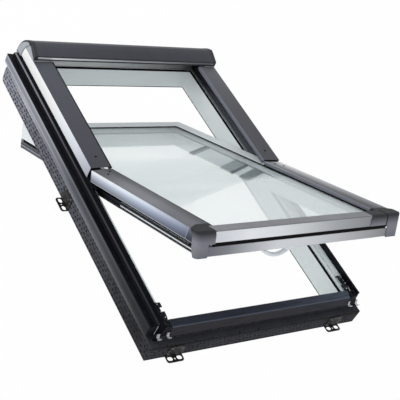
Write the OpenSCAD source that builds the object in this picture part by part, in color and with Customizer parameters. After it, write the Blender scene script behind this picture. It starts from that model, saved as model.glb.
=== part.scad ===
// Centre-pivot roof window: a fixed frame in its insulation collar, and a glazed sash
// that turns about a level axis half way up. X runs across the roof, Y up the slope and
// Z out of the roof. The origin is the middle of the bracket screws, on the battens.

/* [Frame] */
// Width over the fixed frame
frame_w = 740; // [660:10:1140]
// Length over the fixed frame, up the slope
frame_l = 1180; // [980:10:1400]
// Thickness of the insulation collar at the sides
collar_t = 26; // [22:1:34]

/* [Sash] */
// Angle between the shown sash and the frame
open_angle = 28.1; // [0:0.1:145]
// Thickness of each glass pane
pane_t = 4; // [3:1:6]

/* [Covers] */
// Thickness of the folded metal covers
sheet_t = 1.5; // [1:0.1:2]
// Width of the top face of the side covers
cover_w = 68; // [64:1:72]

/* [Hinges] */
// Middle radius of the curved slide in each hinge
slide_r = 23; // [22:0.5:25]
// Gap on each side of the curved slide
slide_gap = 0.35; // [0.3:0.05:0.5]

/* [Handle] */
// Outer radius of the bowed grip
grip_r = 74.5; // [70:0.5:80]
// Thickness of the grip
grip_t = 12; // [10:1:14]

/* [Fixing] */
// Diameter of the screw holes in the brackets
screw_hole_d = 6; // [5:0.5:7]
// Distance between the two screws at each end of the frame
end_screw_w = 600; // [480:10:620]

/* [Hidden] */
// Edges of the fixed frame: side faces, ends and the clear opening
half_w = frame_w / 2;
reveal_x = half_w - 40;
ledge_x = half_w - 4;
collar_x = half_w + collar_t;
collar_y = frame_l / 2 - 3.5;
end_top = frame_l / 2 + 17;
end_bottom = end_top - frame_l;
reveal_top = end_top - 52;
reveal_bottom = end_bottom + 37;
pvc_bottom = reveal_bottom - 25;
collar_in_top = reveal_top + 7;
collar_in_bottom = pvc_bottom - 1;

// Heights on the fixed frame
reveal_low = 7;
seal_z = 79;
ledge_z = 93;
collar_z = 52;
rail_z = 63;
channel_z = 96;
upstand_z = 126;
upstand_low = 119;

// The turning axis, which lies in the plane of the side covers
pivot_y = -11.2;
pivot_z = 161.6;

// Sash: across is x, v runs up the sash from the axis, w stands out of it
sash_x = reveal_x - 3;
sash_top = reveal_top - pivot_y - 6.3;
sash_low = reveal_bottom - pivot_y + 9.8;
front_v = end_bottom - pivot_y + 2.3;
sash_under = -90.5;
glass_w = -15.9;
unit_t = 24;
glass_x = sash_x - 15.5;
glass_top = sash_top - 15.5;
glass_low = sash_low - 18.5;

// Covers
fold_r = sheet_t + 0.8;
cover_x = half_w - 2;
cover_in = cover_x - cover_w;
split_up = pivot_y + 4;
split_low = -4;
cap_seam = front_v + 56.5;
cap_side_seam = cap_seam - 18;

// Hood over the top end, as distances from the end of the frame
hood_in = half_w - 16;
hood_arc = [end_top - 99, 104];
hood_arc_r = 100;
hood_front = end_top - 121.6;

// Hinges
slide_w = 6.4;
hinge_top = pivot_z - 6.4;

// Locking bolts
bolt_v = -490;
bolt_w = -61.6;
bolt_r = 4;

// Brackets
bracket_t = 2.5;
screw_out = 12;

pvc = "whitesmoke";
foam = [0.2, 0.2, 0.22];
black = [0.08, 0.08, 0.09];
anthracite = [0.3, 0.3, 0.32];
silver = [0.82, 0.83, 0.85];
steel = [0.6, 0.6, 0.62];
glass = [0.8, 0.88, 0.86, 0.4];

function unit(v) = v / norm(v);
function right_of(v) = [v[1], -v[0]];
function turned(v, a) = [v[0] * cos(a) - v[1] * sin(a), v[0] * sin(a) + v[1] * cos(a)];
function flat(p) = [p[0], p[1]];

// Arc of radius r that rounds the corner q between p and s
function fillet(p, q, s, r) =
    let (
        a = unit(p - q),
        b = unit(s - q),
        half = acos(a * b) / 2,
        centre = q + unit(a + b) * r / sin(half),
        start = q + a * r / tan(half) - centre,
        sweep = (180 - 2 * half) * sign(cross(q - p, s - q)),
        steps = max(2, ceil(abs(sweep) / 15))
    )
    [for (i = [0 : steps]) centre + turned(start, sweep * i / steps)];

// Open path from [x, y, corner radius] points, with its inner corners rounded
function rounded_path(pts) =
    [for (i = [0 : len(pts) - 1])
        let (p = pts[i])
        each (i == 0 || i == len(pts) - 1 || p[2] == 0)
            ? [flat(p)]
            : fillet(flat(pts[i - 1]), flat(p), flat(pts[i + 1]), p[2])];

// Closed outline from [x, y, corner radius] points
function rounded_loop(pts) =
    let (n = len(pts))
    [for (i = [0 : n - 1])
        let (p = pts[i])
        each p[2] == 0
            ? [flat(p)]
            : fillet(flat(pts[(i + n - 1) % n]), flat(p), flat(pts[(i + 1) % n]), p[2])];

// Step to the right of a path at point i that keeps a sheet of thickness t
function side_step(pts, i, t) =
    let (
        last = len(pts) - 1,
        before = unit(pts[max(i, 1)] - pts[max(i, 1) - 1]),
        after = unit(pts[min(i, last - 1) + 1] - pts[min(i, last - 1)]),
        n = unit(right_of(before) + right_of(after))
    )
    n * t / (n * right_of(before));

// Section of a sheet folded along a path, its thickness lying to the right
function sheet(pts, t) =
    concat(pts, [for (i = [len(pts) - 1 : -1 : 0]) pts[i] + side_step(pts, i, t)]);

function arc(centre, r, from, to, steps) =
    [for (i = [0 : steps])
        centre + r * [cos(from + (to - from) * i / steps), sin(from + (to - from) * i / steps)]];

// Outline of a slot between the middles a and b of its round ends
function slot(a, b, r) =
    let (d = atan2(b[1] - a[1], b[0] - a[0]))
    concat(arc(b, r, d - 90, d + 90, 12), arc(a, r, d + 90, d + 270, 12));

// A section drawn in x and z, carried along y
module along_y(from, to)
    translate([0, to, 0]) rotate([90, 0, 0]) linear_extrude(to - from) children();

// A section drawn in y and z, carried along x
module along_x(from, to)
    translate([from, 0, 0]) rotate([90, 0, 90]) linear_extrude(to - from) children();

module box(low, high)
    translate(low) cube(high - low);

module left_hand()
    mirror([1, 0, 0]) children();

// Puts what is drawn in the sash's own x, v, w in its place on the open sash
module on_sash()
    translate([0, pivot_y, pivot_z]) rotate([-open_angle, 0, 0]) children();

// Flat ring between two rectangles, each [low x, low y, high x, high y]
module ring(outer, inner, low, high)
    difference() {
        box([outer[0], outer[1], low], [outer[2], outer[3], high]);
        box([inner[0], inner[1], low - 1], [inner[2], inner[3], high + 1]);
    }

// Fixed frame

function ledge_height(x) = ledge_z + (x - reveal_x - 8) * 0.25;

side_section = [
    [reveal_x, reveal_low], [ledge_x, reveal_low], [ledge_x, ledge_height(ledge_x)],
    [reveal_x + 15, ledge_height(reveal_x + 15)], [reveal_x + 15, 90], [reveal_x + 11, 90],
    [reveal_x + 11, ledge_height(reveal_x + 11)],
    [reveal_x + 6, ledge_height(reveal_x + 6)], [reveal_x + 6, seal_z], [reveal_x, seal_z]
];

// Room for the moulded corner piece at the right end of the bottom member
module corner_notch()
    box([ledge_x - 4.5, pvc_bottom - 1, collar_z + 3], [half_w, end_bottom + 28, 200]);

module frame_side()
    difference() {
        intersection() {
            along_y(end_bottom, end_top) polygon(side_section);
            linear_extrude(200) polygon([
                [reveal_x - 1, reveal_bottom + 25 / 36], [ledge_x + 1, pvc_bottom - 25 / 36],
                [ledge_x + 1, end_top + 52 / 36], [reveal_x - 1, reveal_top - 52 / 36]
            ]);
            box([0, pvc_bottom, 0], [half_w, end_top, 200]);
        }
        box([0, collar_in_top, 0], [half_w, end_top + 1, rail_z]);
        corner_notch();
    }

module frame_side_left()
    color(pvc) left_hand() frame_side();

module frame_side_right()
    color(pvc) frame_side();

module frame_top()
    color(pvc)
    intersection() {
        along_x(-ledge_x, ledge_x) polygon([
            [reveal_top, reveal_low], [collar_in_top, reveal_low], [collar_in_top, rail_z],
            [end_top, rail_z], [end_top, 104], [end_top - 7, 112], [reveal_top + 3, 112],
            [reveal_top + 3, 92.5], [reveal_top + 6, 92.5], [reveal_top + 6, seal_z],
            [reveal_top, seal_z]
        ]);
        linear_extrude(200) polygon([
            [-reveal_x, reveal_top], [-ledge_x, end_top], [ledge_x, end_top],
            [reveal_x, reveal_top]
        ]);
    }

module frame_bottom()
    color(pvc)
    difference() {
        intersection() {
            along_x(-ledge_x, ledge_x) polygon([
                [reveal_bottom, reveal_low], [pvc_bottom, reveal_low], [pvc_bottom, 98],
                [reveal_bottom - 5, 102], [reveal_bottom - 5, seal_z], [reveal_bottom, seal_z]
            ]);
            linear_extrude(200) polygon([
                [-reveal_x, reveal_bottom], [-ledge_x, pvc_bottom], [ledge_x, pvc_bottom],
                [reveal_x, reveal_bottom]
            ]);
        }
        corner_notch();
        left_hand() corner_notch();
    }

// Dark cover over the bottom member, with a front apron that leans outwards
module sill_cover()
    color(black)
    along_x(-reveal_x - 6, reveal_x + 6)
    polygon(sheet(rounded_path([
        [end_bottom + 5, 75.5, 0], [end_bottom + 2, 76, 0], [end_bottom + 10, 103, 3],
        [reveal_bottom - 0.5, 109, 3.5], [reveal_bottom - 0.5, 93, 0]
    ]), 2));

// Moulded corner between the sill cover and the upstand, closing the profile's end
module corner_piece() {
    difference() {
        along_y(pvc_bottom - 4, reveal_bottom - 5.6) polygon(rounded_loop([
            [reveal_x + 6.3, 102.1, 0], [ledge_x - 4.8, 102.1, 0], [ledge_x - 4.8, 114, 3],
            [reveal_x + 16, 109, 4], [reveal_x + 6.3, 107, 2]
        ]));
        translate([reveal_x + 20, reveal_bottom - 14, 100]) cylinder(h = 20, r = 3.5, $fn = 32);
    }
    along_y(pvc_bottom - 3.7, pvc_bottom - 0.2) polygon([
        [reveal_x + 6.3, 74.2], [ledge_x + 0.2, 74.2], [ledge_x + 0.2, collar_z + 3.2],
        [ledge_x + 14, collar_z + 3.2], [ledge_x + 14, 80], [ledge_x + 8, 87], [ledge_x - 2, 87],
        [ledge_x - 2, 99], [reveal_x + 24, 102.5], [reveal_x + 6.3, 102.5]
    ]);
    along_y(pvc_bottom - 0.3, end_bottom + 27.8) polygon([
        [ledge_x - 4.3, collar_z + 3.2], [ledge_x, collar_z + 3.2],
        [ledge_x, ledge_height(ledge_x)], [ledge_x - 4.3, ledge_height(ledge_x - 4.3)]
    ]);
}

module corner_pieces()
    color(black)
    for (side = [0, 1])
        mirror([side, 0, 0]) corner_piece();

// Bright bent spring clips on the corner, two at each end of the sill cover
module corner_clip(x)
    along_x(x, x + 9)
    polygon(sheet(rounded_path([
        [collar_in_bottom - 18, 83, 0], [collar_in_bottom - 16.5, 75.5, 3],
        [collar_in_bottom - 6, 77, 3], [collar_in_bottom - 4.2, 86.5, 0]
    ]), 1.2));

module corner_clips()
    color(silver)
    for (side = [0, 1], x = [reveal_x + 7, ledge_x + 3])
        mirror([side, 0, 0]) corner_clip(x);

// Black side rail: an upstand beside the covers, a humped gutter and an outer skirt
function upstand_section(top) = [
    [ledge_x - 4.5, top], [ledge_x - 4.5, ledge_height(ledge_x - 4.5)],
    [ledge_x, ledge_height(ledge_x)], [ledge_x, 103], [ledge_x - 1, 105], [ledge_x - 1, top]
];

module side_rail() {
    along_y(pvc_bottom, pivot_y - 40) polygon(upstand_section(upstand_low));
    along_y(pivot_y - 40, end_top - 7) polygon(upstand_section(upstand_z));
    along_y(end_bottom + 28, end_top - 0.5) polygon([
        [ledge_x, 103.3], [ledge_x, ledge_z], [collar_x - 3, ledge_z], [collar_x - 3, rail_z],
        [collar_x, rail_z], [collar_x, channel_z - 1.5], [collar_x - 1.5, channel_z],
        [ledge_x + 9.5, channel_z - 1.5], [ledge_x + 8, channel_z], [ledge_x + 7.2, 99.6],
        [ledge_x + 5.2, 102.2], [ledge_x + 2.6, 103.4]
    ]);
}

module side_rail_left()
    color(black) left_hand() side_rail();

module side_rail_right()
    color(black) side_rail();

module frame_gasket()
    color(black)
    ring(
        [-reveal_x - 5.9, reveal_bottom - 4.9, reveal_x + 5.9, reveal_top + 5.9],
        [-reveal_x - 0.5, reveal_bottom - 0.5, reveal_x + 0.5, reveal_top + 0.5],
        seal_z, seal_z + 6
    );

// Insulation collar round the frame, rounded under at its upper end
module collar_side() {
    intersection() {
        along_y(-collar_y, collar_y) polygon([
            [ledge_x, 0], [collar_x, 0], [collar_x, collar_z], [collar_x - 3, collar_z + 3],
            [ledge_x, collar_z + 3]
        ]);
        along_x(0, 2 * half_w) polygon(rounded_loop([
            [-collar_y, 0, 0], [collar_y, 0, 16], [collar_y, 100, 0], [-collar_y, 100, 0]
        ]));
    }
    along_y(end_bottom + 30, collar_y) polygon([
        [ledge_x, collar_z], [collar_x - 3, collar_z], [collar_x - 3, ledge_z],
        [ledge_x, ledge_z]
    ]);
}

module collar_left()
    color(foam) left_hand() collar_side();

module collar_right()
    color(foam) collar_side();

module collar_top()
    color(foam)
    along_x(-ledge_x, ledge_x) polygon([
        [collar_in_top, 0], [collar_y, 0], [collar_y, rail_z - 3], [collar_y - 3, rail_z],
        [collar_in_top, rail_z]
    ]);

module collar_bottom()
    color(foam)
    along_x(-ledge_x, ledge_x) polygon([
        [collar_in_bottom, 0], [-collar_y, 0], [-collar_y, collar_z - 1],
        [-collar_y + 2, collar_z + 1], [collar_in_bottom - 4, collar_z + 3],
        [collar_in_bottom - 4, 74], [collar_in_bottom, 74]
    ]);

// Covers of the upper half, fixed to the frame
upper_low = 123;
upper_edge = 160.5;
upper_ridge = 164;

function cover_top(low, high, x) = low + (high - low) * (cover_x - x) / cover_w;

module cover_carrier()
    along_y(split_up + 40, hood_front) polygon([
        [ledge_x - 4.5, upstand_z], [ledge_x - 0.5, upstand_z], [ledge_x - 0.5, 158],
        [reveal_x + 6, cover_top(158, 161.4, reveal_x + 6)],
        [reveal_x + 6, cover_top(155.4, 158.8, reveal_x + 6)], [ledge_x - 4.5, 155.6]
    ]);

module cover_carrier_left()
    color(steel) left_hand() cover_carrier();

module cover_carrier_right()
    color(steel) cover_carrier();

module upper_cover()
    along_y(split_up, hood_front)
    polygon(sheet(rounded_path([
        [cover_in, 150.5, 0], [cover_in, upper_ridge, fold_r],
        [cover_x - sheet_t, cover_top(upper_edge, upper_ridge, cover_x - sheet_t), 0]
    ]), sheet_t));

module upper_cover_left()
    color(anthracite) left_hand() upper_cover();

module upper_cover_right()
    color(anthracite) upper_cover();

// Bright side sheet, cut to an arc where it meets the end of the hood
cheek_centre = [end_top - 122, 122];
cheek_r = 81.5;

module upper_side()
    along_x(cover_x - sheet_t, cover_x)
    polygon(concat(
        [[split_up, upper_low], [split_up, upper_edge]],
        arc(cheek_centre, cheek_r, 28.2, 3, 5),
        [[end_top - 40.5, upper_low]]
    ));

module upper_side_left()
    color(silver) left_hand() upper_side();

module upper_side_right()
    color(silver) upper_side();

// Hood over the top end
function hood_path(inset) =
    let (r = hood_arc_r - inset, i = inset)
    concat(
        rounded_path([
            [end_top - 115, 162, 0], [end_top - 120.5 + i, 164 + i / 2, 0],
            [end_top - 120.5 + i, 182 - i * 0.7, 5], [end_top - 88, 194.5 - i, 0]
        ]),
        arc(hood_arc, r, 73, 2.5, 14)
    );

module hood_cover()
    color(anthracite) along_x(-hood_in, hood_in) polygon(sheet(hood_path(0.8), sheet_t));

// Bright edge strip along the hood's front
module hood_lip()
    color(silver)
    along_x(-hood_in, hood_in) polygon([
        [end_top - 119.7, 171], [end_top - 119.7, 177], [end_top - 121, 177],
        [end_top - 121.5, 176.4], [end_top - 121.5, 171.6], [end_top - 121, 171]
    ]);

// Moulded end of the hood: a rim, an end wall and a side face behind the cheek
module hood_cap() {
    along_x(hood_in, cover_x - sheet_t - 0.3) polygon(sheet(hood_path(0), 3));
    along_x(cover_x - sheet_t - 3.3, cover_x - sheet_t - 0.3)
        polygon(concat(hood_path(0), [[end_top - 3, 108], [end_top - 4, 127],
            [end_top - 46, 127], [end_top - 46, 165.5], [end_top - 116, 165.5]]));
    along_x(cover_x - sheet_t - 0.4, half_w)
        polygon(concat(
            [[end_top - 39.9, 119]],
            arc(cheek_centre, cheek_r + 0.6, 0, 53, 6),
            [[end_top - 66, 189]],
            arc(hood_arc, hood_arc_r - 6, 70, 9, 10)
        ));
}

// Flat facet between the side sheet and the hood's rim
module hood_cheek()
    along_x(cover_x - sheet_t - 0.3, cover_x - 0.4)
    polygon(concat(
        [[end_top - 118.5, upper_edge + 0.4], [end_top - 118.5, 166], [end_top - 75, 187.4]],
        arc(cheek_centre, cheek_r, 53, 28.8, 5)
    ));

module hood_cap_left()
    color(steel) left_hand() hood_cap();

module hood_cap_right()
    color(steel) hood_cap();

module hood_cheek_left()
    color(steel) left_hand() hood_cheek();

module hood_cheek_right()
    color(steel) hood_cheek();

// Curved slide hinge, fixed half: a block on the ledge with an arc-shaped groove
module about_pivot(from, to)
    translate([from, pivot_y, pivot_z]) rotate([90, 0, 90]) linear_extrude(to - from)
        children();

module half_disc(r)
    difference() {
        circle(r, $fn = 96);
        translate([-r - 1, hinge_top - pivot_z]) square(2 * r + 2);
    }

guide_r = 34;

module hinge_guide() {
    difference() {
        about_pivot(reveal_x + 6, ledge_x - 4.8) half_disc(guide_r);
        about_pivot(reveal_x + 5, reveal_x + 17) difference() {
            circle(slide_r + slide_w / 2 + slide_gap, $fn = 96);
            circle(slide_r - slide_w / 2 - slide_gap, $fn = 96);
        }
    }
    along_y(pivot_y - 26, pivot_y + 26) polygon([
        [reveal_x + 6.5, ledge_height(reveal_x + 6.5)],
        [ledge_x - 4.8, ledge_height(ledge_x - 4.8)], [ledge_x - 4.8, pivot_z - 30],
        [reveal_x + 18, pivot_z - 30], [reveal_x + 18, 112], [reveal_x + 6.5, 104]
    ]);
}

module hinge_guide_left()
    color(steel) left_hand() hinge_guide();

module hinge_guide_right()
    color(steel) hinge_guide();

// Keep for the locking bolt: the bolt drops in from above and slides under the hook
module striker() {
    bolt_y = pivot_y + bolt_v;
    bolt_z = pivot_z + bolt_w;
    difference() {
        along_x(reveal_x + 6.5, reveal_x + 21) polygon(rounded_loop([
            [bolt_y - 38, 98, 1], [bolt_y - 34, 104, 4], [bolt_y - 18, 108, 4],
            [bolt_y + 22, 108, 5], [bolt_y + 30, 98, 2]
        ]));
        box([reveal_x + 5, bolt_y - 9, bolt_z - 4.6], [reveal_x + 16, bolt_y + 24, bolt_z + 4.8]);
        box([reveal_x + 5, bolt_y - 9, bolt_z], [reveal_x + 16, bolt_y + 7, 120]);
    }
    along_y(bolt_y - 38, bolt_y + 30) polygon([
        [reveal_x + 16, ledge_height(reveal_x + 16)], [reveal_x + 21, ledge_height(reveal_x + 21)],
        [reveal_x + 21, 99.5], [reveal_x + 16, 99.5]
    ]);
}

module striker_left()
    color(black) left_hand() striker();

module striker_right()
    color(black) striker();

// Angle bracket: a leg against the collar and an open foot on the batten, drawn at +x
module bracket() {
    difference() {
        linear_extrude(bracket_t) polygon(rounded_loop([
            [0, -28, 0], [23, -28, 8], [23, 28, 8], [0, 28, 0]
        ]));
        translate([screw_out, 0, -1]) cylinder(h = 5, d = screw_hole_d, $fn = 48);
        for (side = [-1, 1])
            translate([0, 0, -1]) linear_extrude(5)
                polygon(slot([10.5, side * 13], [10.5, side * 18], 6.5));
    }
    difference() {
        along_x(0, bracket_t) polygon([[-28, 0], [28, 0], [28, 30], [17, 45], [-28, 45]]);
        for (y = [-16, 12])
            translate([-1, y, 28]) rotate([0, 90, 0]) cylinder(h = 5, r = 2.4, $fn = 32);
    }
}

module end_brackets()
    color(black)
    for (x = [-1, 1] * end_screw_w / 2, end = [-1, 1])
        translate([x, end * collar_y, 0]) rotate([0, 0, end * 90]) bracket();

module side_brackets()
    color(black)
    for (side = [0, 1])
        mirror([side, 0, 0]) translate([collar_x, 0, 0]) bracket();

// Low round head of a cover screw, a little clear of the sloping sheet
module screw_head()
    translate([0, 0, 0.2]) cylinder(h = 1.6, r = 3.5, $fn = 32);

module frame_screws()
    color(steel)
    for (side = [0, 1])
        mirror([side, 0, 0])
            translate([331, pivot_y + 50, cover_top(upper_edge, upper_ridge, 331)])
                screw_head();

// Sash

side_rail_section = [
    [sash_x, -4.5], [sash_x, -55], [sash_x - 6, -55], [sash_x - 6, -67], [sash_x, -67],
    [sash_x, -75], [sash_x + 0.8, -76], [sash_x + 0.8, -79], [sash_x, -80],
    [sash_x, -84], [sash_x - 4, -84], [sash_x - 4, sash_under], [sash_x - 24, sash_under],
    [sash_x - 30, -84], [sash_x - 30, glass_w - unit_t - 0.4],
    [glass_x + 0.5, glass_w - unit_t - 0.4], [glass_x + 0.5, glass_w + 0.2],
    [sash_x - 27, glass_w + 0.2], [sash_x - 27, -13.4]
];

module sash_side()
    intersection() {
        along_y(sash_low - 45, sash_top) polygon(side_rail_section);
        translate([0, 0, -100]) linear_extrude(100) polygon([
            [sash_x - 30, sash_low + 40], [sash_x, sash_low], [sash_x + 2, sash_low],
            [sash_x + 2, sash_top], [sash_x, sash_top], [sash_x - 30, sash_top - 30]
        ]);
    }

module sash_side_left()
    color(pvc) on_sash() left_hand() sash_side();

module sash_side_right()
    color(pvc) on_sash() sash_side();

module sash_top_rail()
    color(pvc) on_sash()
    intersection() {
        along_x(-sash_x, sash_x) polygon([
            [sash_top, -4.5], [sash_top, sash_under], [sash_top - 24, sash_under],
            [sash_top - 30, -84], [sash_top - 30, glass_w - unit_t - 0.4],
            [glass_top + 0.5, glass_w - unit_t - 0.4], [glass_top + 0.5, glass_w + 0.2],
            [sash_top - 27, glass_w + 0.2], [sash_top - 27, -13.4]
        ]);
        translate([0, 0, -100]) linear_extrude(100) polygon([
            [-sash_x, sash_top], [-sash_x + 30, sash_top - 30],
            [sash_x - 30, sash_top - 30], [sash_x, sash_top]
        ]);
    }

// The bottom rail fills the reveal below and reaches over the frame's bottom member
module sash_bottom_rail()
    color(pvc) on_sash() {
        intersection() {
            along_x(-sash_x, sash_x) polygon([
                [sash_low + 40, glass_w - unit_t - 0.4], [sash_low, glass_w - unit_t - 0.4],
                [sash_low, sash_under], [sash_low + 34, sash_under], [sash_low + 40, -84]
            ]);
            translate([0, 0, -100]) linear_extrude(100) polygon([
                [-sash_x + 30, sash_low + 40], [-sash_x, sash_low], [sash_x, sash_low],
                [sash_x - 30, sash_low + 40]
            ]);
        }
        along_x(-sash_x + 4, sash_x - 4) polygon([
            [sash_low - 6.5, -13.4], [sash_low - 9, -4.5], [front_v + 12, -4.5],
            [front_v + 3, -14], [front_v + 3, -34], [front_v + 9, -34], [front_v + 9, -44],
            [sash_low - 0.1, -44], [sash_low - 0.1, glass_w - unit_t - 0.4],
            [glass_low - 0.5, glass_w - unit_t - 0.4], [glass_low - 0.5, glass_w + 0.2],
            [sash_low - 6.5, glass_w + 0.2]
        ]);
    }

module pane(top)
    box([-glass_x, glass_low, top - pane_t], [glass_x, glass_top, top]);

module outer_pane()
    color(glass) on_sash() pane(glass_w);

module inner_pane()
    color(glass) on_sash() pane(glass_w - unit_t + pane_t);

module spacer_frame()
    color(steel) on_sash()
    ring(
        [-glass_x + 0.5, glass_low + 0.5, glass_x - 0.5, glass_top - 0.5],
        [-glass_x + 13, glass_low + 13, glass_x - 13, glass_top - 13],
        glass_w - unit_t + pane_t, glass_w - pane_t
    );

module glazing_gasket()
    color(black) on_sash()
    ring(
        [-sash_x + 27.2, sash_low - 6.3, sash_x - 27.2, sash_top - 27.2],
        [-sash_x + 30, sash_low - 3, sash_x - 30, sash_top - 30],
        glass_w, glass_w + 2
    );

// Covers of the lower half, which turn with the sash
lower_low = -38.5;
lower_edge = -3.9;
lower_ridge = -0.4;

module overlap_rail()
    along_y(cap_seam + 6, -58) polygon([
        [sash_x, -3.8], [sash_x, -30], [sash_x + 2.5, -30], [sash_x + 2.5, -9],
        [ledge_x - 2, -9], [ledge_x - 2, -33.5], [cover_x - sheet_t - 0.2, -33.5],
        [cover_x - sheet_t - 0.2, -5.9]
    ]);

module overlap_rail_left()
    color(steel) on_sash() left_hand() overlap_rail();

module overlap_rail_right()
    color(steel) on_sash() overlap_rail();

module lower_cover()
    difference() {
        along_y(cap_seam + 0.3 - 20, split_low)
        polygon(sheet(rounded_path([
            [cover_in, -12.7, 0], [cover_in, lower_ridge, fold_r],
            [cover_x - sheet_t, cover_top(lower_edge, lower_ridge, cover_x - sheet_t), 0]
        ]), sheet_t));
        translate([0, 0, -50]) linear_extrude(60) polygon([
            [cover_in - 1, cap_seam + 0.3], [cover_x - 26, cap_seam + 0.3],
            [half_w, cap_seam - 19.2], [half_w, cap_seam - 30], [cover_in - 1, cap_seam - 30]
        ]);
    }

module lower_cover_left()
    color(anthracite) on_sash() left_hand() lower_cover();

module lower_cover_right()
    color(anthracite) on_sash() lower_cover();

module lower_side()
    along_x(cover_x - sheet_t, cover_x) polygon([
        [split_low, lower_low], [split_low, lower_edge], [cap_side_seam + 0.3, lower_edge],
        [cap_side_seam - 12, -20], [cap_side_seam - 13.2, lower_low]
    ]);

module lower_side_left()
    color(silver) on_sash() left_hand() lower_side();

module lower_side_right()
    color(silver) on_sash() lower_side();

// Moulded corner cap: a hollow block with round corners and a leg down its outer side
cap_front = front_v - 2;

cap_plan = rounded_loop([
    [cover_in, cap_seam, 0], [cover_x - 26, cap_seam, 0], [half_w, cap_seam - 19.5, 0],
    [half_w, cap_front, 15], [cover_x - 53, cap_front, 0], [cover_x - 53, sash_low - 6.2, 0],
    [cover_in, sash_low - 6.2, 0]
]);

cap_hollow_plan = rounded_loop([
    [cover_in - 2, cap_seam + 2, 0], [half_w - 2.5, cap_seam + 2, 0],
    [half_w - 2.5, cap_front + 2.5, 12.5], [cover_in - 2, cap_front + 2.5, 0]
]);

// What a plan outline and a side outline have in common
module crossed(plan, side)
    intersection() {
        translate([0, 0, -100]) linear_extrude(101) polygon(plan);
        along_x(cover_in - 5, half_w + 1) polygon(side);
    }

module end_cap(leg_x)
    difference() {
        union() {
            crossed(cap_plan, [
                [cap_seam + 1, -3.1], [cap_seam + 1, -0.6], [cap_front + 14, -0.6],
                [cap_front + 14, -3.1]
            ]);
            crossed(cap_plan, rounded_loop([
                [cap_side_seam, -0.6, 0], [cap_side_seam - 12.3, -20, 0],
                [cap_side_seam - 13.6, -38, 0], [cap_side_seam - 17, -60, 6],
                [cap_side_seam - 25, -73, 4], [cap_front, -73, 2], [cap_front, -0.6, 13]
            ]));
        }
        crossed(cap_hollow_plan, rounded_loop([
            [cap_seam + 2, -3.1, 0], [cap_seam + 2, -90, 0], [cap_front + 2.5, -90, 0],
            [cap_front + 2.5, -3.1, 10.5]
        ]));
        box([cover_x - 60, cap_front - 10, -90], [leg_x, cap_seam + 30, -36.5]);
    }

// Where the strips of the bottom rail end: the right one stops at a further block
strip_left = cover_x - 53.3;
strip_right = strip_left - 66.5;
block_end = strip_left - 4.2;
leg_left = cover_x - 33;
leg_right = cover_x - 49;

module cap_block()
    along_x(strip_right + 0.3, block_end) polygon(sheet(rounded_path([
        [cap_front, -33.5, 0], [cap_front, -0.6, 10], [sash_low - 6.2, -0.6, 0]
    ]), 2));

module end_cap_left()
    color(anthracite) on_sash() left_hand() end_cap(leg_left);

module end_cap_right()
    color(anthracite) on_sash() {
        end_cap(leg_right);
        cap_block();
    }

module rail_top_strip()
    color(anthracite) on_sash()
    along_x(-strip_left, strip_right) polygon(sheet(rounded_path([
        [front_v, -3.2, 0], [front_v, -0.6, 0], [sash_low - 6.5, -0.6, 0],
        [sash_low - 6.5, -3, 0]
    ]), sheet_t));

module rail_front_strip()
    color(silver) on_sash()
    box([-strip_left, front_v, -33.5], [strip_right, front_v + 2, -3.5]);

// Black seal between the front strip and the apron, and between the two right blocks
module rail_seal()
    color(black) on_sash() {
        along_x(-strip_left, strip_left) polygon([
            [front_v + 3.2, -34.3], [front_v + 8.8, -34.3], [front_v + 8.8, -43.8],
            [front_v + 1.2, -43.8], [front_v + 2.2, -40]
        ]);
        along_x(block_end + 0.1, strip_left + 0.1) polygon(sheet(rounded_path([
            [cap_front + 1, -33.5, 0], [cap_front + 1, -1.6, 9], [sash_low - 6.4, -1.6, 0]
        ]), 1.5));
    }

module apron_rail()
    color(silver) on_sash()
    along_x(-leg_left + 0.6, leg_right - 0.6) polygon([
        [front_v, -44.4], [front_v + 30, -44.4], [front_v + 30, -46.2],
        [front_v + 2, -46.2], [front_v + 2, -69.5], [front_v, -69.5]
    ]);

// Curved slide hinge, turning half: a plate on the sash with an arc-shaped rib
shoe_from = -20;
shoe_to = -50;

module hinge_shoe() {
    along_x(sash_x, sash_x + 4) polygon(rounded_loop([
        [-42, -7, 2], [42, -7, 2], [42, -30, 8], [30, -42, 8], [-30, -42, 8], [-42, -30, 8]
    ]));
    along_x(sash_x + 4, reveal_x + 16.5) polygon(concat(
        arc([0, 0], slide_r + slide_w / 2, shoe_from, shoe_to, 10),
        arc([0, 0], slide_r - slide_w / 2, shoe_to, shoe_from, 10)
    ));
}

module hinge_shoe_left()
    color(steel) on_sash() left_hand() hinge_shoe();

module hinge_shoe_right()
    color(steel) on_sash() hinge_shoe();

handle_v = sash_low + 20;
spindle_r = 6;
base_h = 8;

module handle_base()
    color(pvc) on_sash()
    translate([0, handle_v, sash_under - base_h]) difference() {
        linear_extrude(base_h) polygon(rounded_loop([
            [-20, -13, 6], [20, -13, 6], [20, 13, 6], [-20, 13, 6]
        ]));
        translate([0, 0, -1]) cylinder(h = base_h + 2, r = spindle_r + 0.05, $fn = 64);
    }

module sash_screws()
    color(steel) on_sash()
    for (side = [0, 1], at = [[340, -53], [321.5, -30]])
        mirror([side, 0, 0])
            translate([at[0], at[1], cover_top(lower_edge, lower_ridge, at[0])])
                screw_head();

// Flat rod in the side groove of the sash, with its locking bolt
module lock_rod() {
    box([sash_x - 5.4, sash_low + 10, -66], [sash_x - 2.6, -60, -56]);
    translate([sash_x - 4, bolt_v, bolt_w]) rotate([0, 90, 0])
        cylinder(h = reveal_x + 15 - sash_x + 4, r = bolt_r, $fn = 48);
}

module lock_rod_left()
    color(steel) on_sash() left_hand() lock_rod();

module lock_rod_right()
    color(steel) on_sash() lock_rod();

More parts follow.
